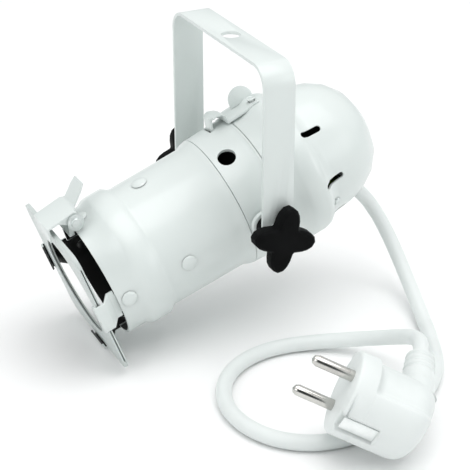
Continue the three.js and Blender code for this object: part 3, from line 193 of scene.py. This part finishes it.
# ---- Mains cord
# A round three-core cord in white PVC, 7 mm thick. It leaves the gland at the back of the can, comes
# down to the floor, turns round behind the plug and climbs over itself into the plug's strain relief.
cord_radius = 0.0035
cord_route = np.array([
    [0, 67.15, -88.32], [0.9, 74.1, -96.3], [3.8, 79.1, -104.9], [8.7, 82.1, -113.5],
    [15.8, 83.1, -121], [25.8, 82.1, -127.4], [39.2, 79, -132.5], [54, 74.4, -135.5],
    [68.5, 68.9, -136.5], [82.4, 62.3, -136.5], [94.9, 54.4, -136.5], [104.4, 44.6, -136.5],
    [110.9, 33, -136.5], [116.1, 19.8, -136.5], [120.3, 5.8, -136.5], [121.4, -8.6, -136.5],
    [117.9, -22, -136.5], [109.6, -32.8, -136.5], [97.4, -39.6, -136.5], [83, -41.5, -136.5],
    [68.6, -37.9, -136.5], [56.8, -29.7, -136.5], [49.1, -18.5, -136.5], [45.7, -6.2, -136.5],
    [46.2, 6.4, -136.5], [50.2, 18.4, -135.8], [56.6, 28.5, -134], [63.7, 35.7, -131.4],
    [71.1, 40.6, -128.2], [78.7, 43.6, -124.5], [86.7, 44.9, -120.5], [94.9, 43.6, -117.1],
    [102.9, 40, -115.2], [110.27, 35, -115.62]]) / 1000


def smooth_line(points, steps):
    """A smooth line through the points: each span is a cubic whose slope at a point is that of the
    parabola through it and its neighbours, with the spans timed by the root of their lengths."""
    ends = np.concatenate([[2 * points[0] - points[1]], points, [2 * points[-1] - points[-2]]])
    spans = np.sqrt(np.linalg.norm(np.diff(ends, axis=0), axis=1))
    before, here, after = spans[:-2, None], spans[1:-1, None], spans[2:, None]
    p0, p1, p2, p3 = ends[:-3], ends[1:-2], ends[2:-1], ends[3:]
    slope_1 = here * ((p1 - p0) / before - (p2 - p0) / (before + here)) + (p2 - p1)
    slope_2 = here * ((p3 - p2) / after - (p3 - p1) / (here + after)) + (p2 - p1)
    t = (np.arange(steps) / steps)[None, :, None]
    p1, p2, slope_1, slope_2 = (v[:, None] for v in (p1, p2, slope_1, slope_2))
    curve = ((2 * t**3 - 3 * t**2 + 1) * p1 + (t**3 - 2 * t**2 + t) * slope_1
             + (3 * t**2 - 2 * t**3) * p2 + (t**3 - t**2) * slope_2)
    return np.concatenate([curve.reshape(-1, 3), points[-1:]])


def swept(name, path, radius, sides):
    """A round tube: rings of the given radius, square to the path, whose first spoke stays level."""
    ahead = np.gradient(path, axis=0)
    ahead /= np.linalg.norm(ahead, axis=1)[:, None]
    level = np.cross(ahead, [0.0, 0.0, 1.0])
    level /= np.linalg.norm(level, axis=1)[:, None]
    upward = np.cross(level, ahead)
    angle = np.arange(sides) * 2 * np.pi / sides
    ring = np.cos(angle)[None, :, None] * level[:, None] + np.sin(angle)[None, :, None] * upward[:, None]
    return surface(name, path[:, None] + radius * ring, closed_ends=True)


cord_path = smooth_line(cord_route, steps=8)
cord = swept("cord", cord_path, cord_radius, sides=24)
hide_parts("mains_cord")


def group(name, inputs, outputs):
    """An empty node group with named sockets: (tree, node that gives its inputs, node for its outputs)."""
    tree = bpy.data.node_groups.new(name, "ShaderNodeTree")
    for direction, sockets in (("INPUT", inputs), ("OUTPUT", outputs)):
        for socket, kind in sockets.items():
            tree.interface.new_socket(socket, in_out=direction, socket_type="NodeSocket" + kind)
    return tree, tree.nodes.new("NodeGroupInput"), tree.nodes.new("NodeGroupOutput")


# Handling leaves every finish a little uneven: wide patches change its tone and gloss, and fine grain
# gives it relief. Both are noise on the piece's own coordinates.
uneven, uneven_in, uneven_out = group(
    "uneven_finish",
    {"Place": "Vector", "Patches": "Float", "Grain": "Float", "Clean": "Color", "Dull": "Color",
     "Glossy": "Float", "Flat": "Float"},
    {"Colour": "Color", "Roughness": "Float", "Height": "Float"})
patch_noise = add(uneven, "TexNoise", Vector=uneven_in.outputs["Place"], Scale=uneven_in.outputs["Patches"],
                  Detail=5.0, Roughness=0.6).outputs["Fac"]
patch_mask = add(uneven, "MapRange", {"interpolation_type": "SMOOTHSTEP"}, Value=patch_noise,
                 From_Min=0.38, From_Max=0.68).outputs["Result"]
patch_tone = colour_mix(uneven, patch_mask, uneven_in.outputs["Clean"], uneven_in.outputs["Dull"])
patch_gloss = add(uneven, "MapRange", Value=patch_noise, From_Min=0.3, From_Max=0.7,
                  To_Min=uneven_in.outputs["Glossy"], To_Max=uneven_in.outputs["Flat"]).outputs["Result"]
fine_grain = add(uneven, "TexNoise", Vector=uneven_in.outputs["Place"], Scale=uneven_in.outputs["Grain"],
                 Detail=2.0, Roughness=0.5).outputs["Fac"]
for result, socket in (("Colour", patch_tone), ("Roughness", patch_gloss), ("Height", fine_grain)):
    uneven.links.new(socket, uneven_out.inputs[result])


def uneven_material(name, clean, dull, gloss, flat, patches, grain, relief, metallic=0.0, **sockets):
    """A whole material from the shared unevenness.

    Its patches go from the clean colour to the dull one and from the roughness gloss to the roughness
    flat. Patches and grain are counts to the metre, relief is the grain's depth in metres, and sockets
    are values of the Principled surface by name, with _ for a space.
    """
    made = material(name, clean, gloss, metallic)
    tree = made.node_tree
    shader = tree.nodes["Principled BSDF"]
    finish = add(tree, "Group", {"node_tree": uneven}, Place=add(tree, "TexCoord").outputs["Object"],
                 Patches=patches, Grain=grain, Clean=(*clean, 1), Dull=(*dull, 1), Glossy=gloss, Flat=flat)
    bump = add(tree, "Bump", Height=finish.outputs["Height"], Distance=relief, Strength=1.0)
    tree.links.new(finish.outputs["Colour"], shader.inputs["Base Color"])
    tree.links.new(finish.outputs["Roughness"], shader.inputs["Roughness"])
    tree.links.new(bump.outputs["Normal"], shader.inputs["Normal"])
    for socket, value in sockets.items():
        shader.inputs[socket.replace("_", " ")].default_value = value
    return made


white_pvc = uneven_material("white_pvc", clean=(0.74, 0.775, 0.765), dull=(0.70, 0.735, 0.725),
                            gloss=0.36, flat=0.5, patches=30, grain=900, relief=0.00003)
paint(cord, white_pvc)

# ---- Shells of the can
# Three spun sheet-metal shells with a wall of 1 mm: the barrel in front, the housing that it plugs
# into, and the rear cap. They are powder coated, gloss white outside and matt black inside.
weld_reach = 0.000005
smooth_below = math.radians(38)

# Faces shade smoothly into each other across every edge that is gentler than smooth_below.
smooth_group = bpy.data.node_groups.new("smooth_between_corners", "GeometryNodeTree")
smooth_group.interface.new_socket("Geometry", in_out="INPUT", socket_type="NodeSocketGeometry")
smooth_group.interface.new_socket("Geometry", in_out="OUTPUT", socket_type="NodeSocketGeometry")
smooth_in = smooth_group.nodes.new("NodeGroupInput")
smooth_out = smooth_group.nodes.new("NodeGroupOutput")
edge_angle = smooth_group.nodes.new("GeometryNodeInputMeshEdgeAngle")
gentle = smooth_group.nodes.new("FunctionNodeCompare")
gentle.data_type = "FLOAT"
gentle.operation = "LESS_THAN"
gentle.inputs[1].default_value = smooth_below
shade_faces = smooth_group.nodes.new("GeometryNodeSetShadeSmooth")
shade_faces.domain = "FACE"
shade_edges = smooth_group.nodes.new("GeometryNodeSetShadeSmooth")
shade_edges.domain = "EDGE"
for giver, taker in ((edge_angle.outputs["Unsigned Angle"], gentle.inputs[0]),
                     (smooth_in.outputs[0], shade_faces.inputs["Geometry"]),
                     (shade_faces.outputs["Geometry"], shade_edges.inputs["Geometry"]),
                     (gentle.outputs["Result"], shade_edges.inputs["Shade Smooth"]),
                     (shade_edges.outputs["Geometry"], smooth_out.inputs[0])):
    smooth_group.links.new(giver, taker)


def dress(names, finish, corner=0.0, sharp=40, steps=2):
    """Nodes of the frame as they leave the works: each wears one finish, its corners take a small round
    of the given radius where two faces meet at more than sharp degrees, and the rest shades smoothly."""
    for name in names:
        node = cad[name]
        node.modifiers.new("weld", "WELD").merge_threshold = weld_reach
        if corner:
            round_corner = node.modifiers.new("round_corner", "BEVEL")
            round_corner.width = corner
            round_corner.segments = steps
            round_corner.limit_method = "ANGLE"
            round_corner.angle_limit = math.radians(sharp)
            round_corner.harden_normals = False
        node.modifiers.new("smooth", "NODES").node_group = smooth_group
        paint(node, finish)


coated_steel = {"patches": 18, "grain": 650, "relief": 0.000004}
powder_coat = {"clean": (0.68, 0.725, 0.71), "dull": (0.672, 0.718, 0.703), "gloss": 0.3, "flat": 0.36,
               "Coat_Weight": 0.35, "Coat_Roughness": 0.16, **coated_steel}
white_coat = uneven_material("white_powder_coat", **powder_coat)

# On the shells the same coat turns black where a face looks at the can's axis: its normal leans
# towards the axis by more than a quarter.
can_centre = (0, 0, -0.078)
can_ahead = (0, -0.93969, -0.34202)
inner_lean = -0.25
inner_black = (0.012, 0.012, 0.012, 1)
shell_coat = uneven_material("shell_coat", **powder_coat)
shell_tree = shell_coat.node_tree
shell_colour = shell_tree.nodes["Principled BSDF"].inputs["Base Color"]
coordinates = add(shell_tree, "TexCoord")
from_centre = vector_sum(shell_tree, "SUBTRACT", 0, coordinates.outputs["Object"], can_centre)
along_axis = add(shell_tree, "VectorMath", {"operation": "SCALE"}, i0=can_ahead,
                 Scale=vector_sum(shell_tree, "DOT_PRODUCT", 1, from_centre, can_ahead)).outputs[0]
from_axis = vector_sum(shell_tree, "SUBTRACT", 0, from_centre, along_axis)
outward = add(shell_tree, "VectorMath", {"operation": "NORMALIZE"}, i0=from_axis).outputs[0]
facing_out = vector_sum(shell_tree, "DOT_PRODUCT", 1, outward, coordinates.outputs["Normal"])
inside = add(shell_tree, "Math", {"operation": "LESS_THAN"}, i0=facing_out, i1=inner_lean).outputs[0]
shell_tone = colour_mix(shell_tree, inside, shell_colour.links[0].from_socket, inner_black)
shell_tree.links.new(shell_tone, shell_colour)
dress(("front_barrel", "rear_housing", "rear_cap"), shell_coat)

# ---- Rivets, clips, gel frame, flap and latch
# The clips, bracket, flap and latch are bent from 0.9 mm steel sheet and coated white with the can.
# Solid rivets hold the clips and bracket to the barrel and the latch to the cap, and a pin carries
# the hinged flap that shuts the gel frame in.
dress([name for name in cad if "_rivet_" in name or name == "retainer_rivet"], shell_coat, corner=0.00035)
dress(("retainer_flap", "latch"), white_coat, corner=0.0002)
dress(("gel_clip_right", "gel_clip_left", "gel_clip_bottom", "retainer_bracket"), shell_coat, corner=0.0002)
# The gel frame wears a darker grey than the white coat: painted shade, for the shade the frame lies in at
# the mouth of the barrel.
frame_coat_painted_shade = uneven_material("frame_coat_painted_shade", clean=(0.56, 0.605, 0.59), dull=(0.53, 0.575, 0.56),
                             gloss=0.34, flat=0.42, **coated_steel)
dress(["gel_frame"], frame_coat_painted_shade, corner=0.0005)

# The bare hardware, from the hinge pin to the knobs' studs, is zinc-plated steel.
zinc = uneven_material("zinc_plate", clean=(0.72, 0.76, 0.75), dull=(0.62, 0.66, 0.65),
                       gloss=0.32, flat=0.46, patches=260, grain=2400, relief=0.000012, metallic=1.0)
zinc_starts = ("retainer_hinge_pin", "socket_bracket", "earth_screw", "cap_screw_", "socket_screw_",
               "knob_washer_", "knob_stud_")
dress([name for name in cad if name.startswith(zinc_starts)], zinc, corner=0.00012)

# ---- Yoke
# One strap of 15 by 1.5 mm steel, bent to a U with a hole in its top for the hanging bolt. A white
# bush on either side of the can carries its arm.
dress(["yoke"], white_coat, corner=0.00035)
dress(("pivot_bush_right", "pivot_bush_left"), white_coat, corner=0.0003)

# ---- Tilt knobs and friction spacers
# Four-lobed knobs moulded in black plastic over a steel stud that screws into the side of the can.
# Through a plain washer each clamps an arm of the yoke against a black friction spacer.
black_plastic = uneven_material("black_plastic", clean=(0.002, 0.0022, 0.0024), dull=(0.004, 0.0043, 0.0046),
                                gloss=0.45, flat=0.6, patches=60, grain=1500, relief=0.00004,
                                Specular_IOR_Level=0.06)
dress(("tilt_knob_right", "tilt_knob_left"), black_plastic, corner=0.0009, sharp=30, steps=3)
dress(("friction_spacer_right", "friction_spacer_left"), black_plastic, corner=0.0002)

# ---- Lamp and its socket
# A ceramic socket, screwed to a steel bracket across the housing, has two arc keyways that take and
# turn the two stepped pins of a 50 mm glass reflector lamp.
ceramic = uneven_material("ceramic", clean=(0.80, 0.78, 0.72), dull=(0.72, 0.69, 0.62),
                          gloss=0.4, flat=0.6, patches=90, grain=1800, relief=0.00003)
nickel = uneven_material("nickel", clean=(0.66, 0.65, 0.62), dull=(0.50, 0.49, 0.47),
                         gloss=0.12, flat=0.26, patches=120, grain=1600, relief=0.00001, metallic=1.0)
mirror = uneven_material("mirror_coat", clean=(0.82, 0.82, 0.84), dull=(0.74, 0.74, 0.77),
                         gloss=0.05, flat=0.14, patches=60, grain=350, relief=0.0002, metallic=1.0)
glass = uneven_material("clear_glass", clean=(0.96, 0.98, 0.98), dull=(0.93, 0.95, 0.95),
                        gloss=0.02, flat=0.06, patches=40, grain=300, relief=0.00001,
                        Transmission_Weight=1.0, IOR=1.47)
dress(("lamp_socket", "lamp_base"), ceramic)
dress(["lamp_reflector"], mirror)
dress(("lamp_burner", "lamp_glass"), glass)
dress(("lamp_pin_right", "lamp_pin_left"), nickel)

# ---- Gland and leads
# The cord enters the dome through a white nylon gland, a ring with a nut inside. Its brown, blue and
# green-yellow leads run on to the socket and to the earth screw.
dress(["cord_gland"], white_pvc, corner=0.0003)
dull_share = 0.8
for name, colour in (("live_lead", (0.16, 0.06, 0.025)), ("neutral_lead", (0.02, 0.10, 0.36)),
                     ("earth_lead", (0.18, 0.34, 0.03))):
    insulation = uneven_material(name + "_pvc", clean=colour, dull=tuple(c * dull_share for c in colour),
                                 gloss=0.35, flat=0.5, patches=200, grain=2500, relief=0.00001)
    dress([name], insulation)

# ---- Plug
# An angled earthed plug moulded in white PVC over its two 4.8 mm pins. A round face with a nickel earth
# strip in a groove at either side stands on a body that bulges back towards the ribbed strain relief.
plug_face = np.array([125.4, -11.6, -110.1]) / 1000
pins_out = np.array([-0.48, -0.773, 0.416])
pins_out /= np.linalg.norm(pins_out)
relief_ahead = np.array([-0.784, 0.59, 0.192])
pin_line = np.cross(pins_out, relief_ahead)
pin_line /= np.linalg.norm(pin_line)
cord_out = np.cross(pin_line, pins_out)
plug_radius = 0.018
plug_front = 0.0008
drum_back = -0.008
groove_half_width = 0.0043
groove_floor = 0.0148
groove_back = -0.0163


def ramp(value, start, length):
    """0 up to start and 1 from start + length on, with a straight slope between them."""
    return np.clip((value - start) / length, 0, 1)


def plug_body(name, sharp=0.0001):
    """The moulded body, in rings about the plug's axis from its face to its back.

    A ring's radius is the drum's times a share that rounds the face's corner, is 1 along the body and
    falls over the last part as the cube root of 1 - t^3. Behind the drum the radius drops by the
    handle's step between 60 and 152 degrees from the first groove, and in a short notch behind the
    face's corner it drops by a depth that grows towards that groove. In both grooves the surface is
    pressed flat to the groove's floor, and the back leans towards the cord. Rings that stand for a
    sharp step are a pair with the distance sharp between them.
    """
    groove_edge, edge_gap = np.arcsin(groove_half_width / plug_radius), 0.008
    columns_in_groove, columns_beside = 5, 26
    quarter = np.concatenate([np.linspace(0, groove_edge - edge_gap, columns_in_groove),
                              np.linspace(groove_edge + edge_gap, np.pi / 2, columns_beside)])
    half = np.concatenate([quarter, np.pi - quarter[-2::-1]])
    around = np.concatenate([half, 2 * np.pi - half[-2:0:-1]])
    degrees = np.degrees(around)

    notch_front, notch_back = plug_front - 0.0014, plug_front - 0.0023
    face = [(plug_front, 0.02), (plug_front, 0.6), (plug_front, 0.93), (plug_front - 0.0003, 0.975),
            (plug_front - 0.0009, 0.998), (notch_front, 1.0), (notch_front - sharp, 1.0),
            (notch_back + sharp, 1.0), (notch_back, 1.0), (drum_back + 0.0006, 1.0), (drum_back, 0.99)]
    face_along, face_share = np.array(face).T
    step_middle, step_length = drum_back - 0.0003, 0.0008
    lean_front, lean_length = -0.012, 0.02
    handle_front, handle_rings = -0.018, 4
    back, back_round, back_rings = -0.0368, 0.012, 14
    handle = [step_middle, drum_back - step_length, lean_front, groove_back + sharp, groove_back - sharp,
              *np.linspace(handle_front, back + back_round, handle_rings)]
    t = np.sin(np.linspace(0.08, 1, back_rings) * np.pi / 2)
    back_share = (1 - np.clip(t, 0, 0.9999)**3)**(1 / 3)
    along = np.concatenate([face_along, handle, back + back_round * (1 - t)])
    share = np.concatenate([face_share, np.ones(len(handle)), back_share])

    handle_step = 0.0024
    step_from, step_to, step_blend = 56, 156, 8
    from_groove = np.abs((degrees + 180) % 360 - 180)
    stepped = ramp(from_groove, step_from, step_blend) * ramp(step_to - from_groove, 0, step_blend)
    stepped = stepped**2 * (3 - 2 * stepped)
    behind_drum = ramp(drum_back - along, 0, step_length)
    radius = share[:, None] * (plug_radius - handle_step * stepped * behind_drum[:, None])

    notch_depth = 0.0011
    notch_from, notch_to, notch_slope = 314, 352, 34
    notched = ramp(degrees, notch_from, notch_slope) * (degrees < notch_to)
    in_notch = (along < notch_front - sharp / 2) & (along > notch_back + sharp / 2)
    radius = radius - notch_depth * in_notch[:, None] * notched

    side = radius * np.sin(around)
    up = -radius * np.cos(around)
    grooved = (np.abs(side) < groove_half_width) & (along[:, None] > groove_back)
    up = np.where(grooved, np.clip(up, -groove_floor, groove_floor), up)
    back_slant, slant_level = -0.12, 0.004
    lean = ramp(lean_front - along, 0, lean_length)[:, None]
    out = along[:, None] + lean * back_slant * (up - slant_level)
    points = plug_face + side[..., None] * pin_line + out[..., None] * pins_out + up[..., None] * cord_out
    return surface(name, points[::-1], closed_ends=True)


body = plug_body("plug_moulding")
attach(body, "yoke")
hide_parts("plug_body")
paint(body, white_pvc)
dress(["plug_strain_relief"], white_pvc, corner=0.0006, sharp=35, steps=3)


def relief_root(name, rings, columns):
    """The fillet between the body and the strain relief: a turned skirt about the cord's way out,
    whose radius is the relief's plus a flare that halves with each 1.3 mm away from the body. Its
    rear side is cut flat at the back of the body."""
    foot, top = 0.0125, 0.0205
    relief_foot, relief_radius, relief_taper = 0.0166, 0.00765, 0.06
    flare, halving = 0.001, 0.0013
    axis_out, flattened, rear_cut = -0.031, 0.98, -0.0384
    height = np.linspace(foot, top, rings)
    radius = relief_radius - relief_taper * (height - relief_foot) + flare * 0.5**((height - foot) / halving)
    angle = np.arange(columns) * 2 * np.pi / columns
    side = radius[:, None] * np.cos(angle)
    out = np.maximum(axis_out + radius[:, None] * np.sin(angle) * flattened, rear_cut)
    points = (plug_face + side[..., None] * pin_line + out[..., None] * pins_out
              + height[:, None, None] * cord_out)
    return surface(name, points, closed_ends=True)


root = relief_root("plug_relief_root", rings=18, columns=48)
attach(root, "yoke")
paint(root, white_pvc)
# The plug's earth strips are nickel, but they get a near-white colour and are only partly metallic so that
# they come out white: a painted reflection of the white surroundings that the strips would mirror.
nickel_with_painted_reflection = uneven_material("nickel_with_painted_reflection", clean=(0.86, 0.89, 0.88), dull=(0.80, 0.83, 0.82),
                                gloss=0.3, flat=0.38, patches=120, grain=1600, relief=0.000004,
                                metallic=0.6)
dress(("plug_pin_upper", "plug_pin_lower"), nickel, corner=0.0002)
dress(("plug_contact_inner", "plug_contact_outer"), nickel_with_painted_reflection, corner=0.0002)

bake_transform(cord)
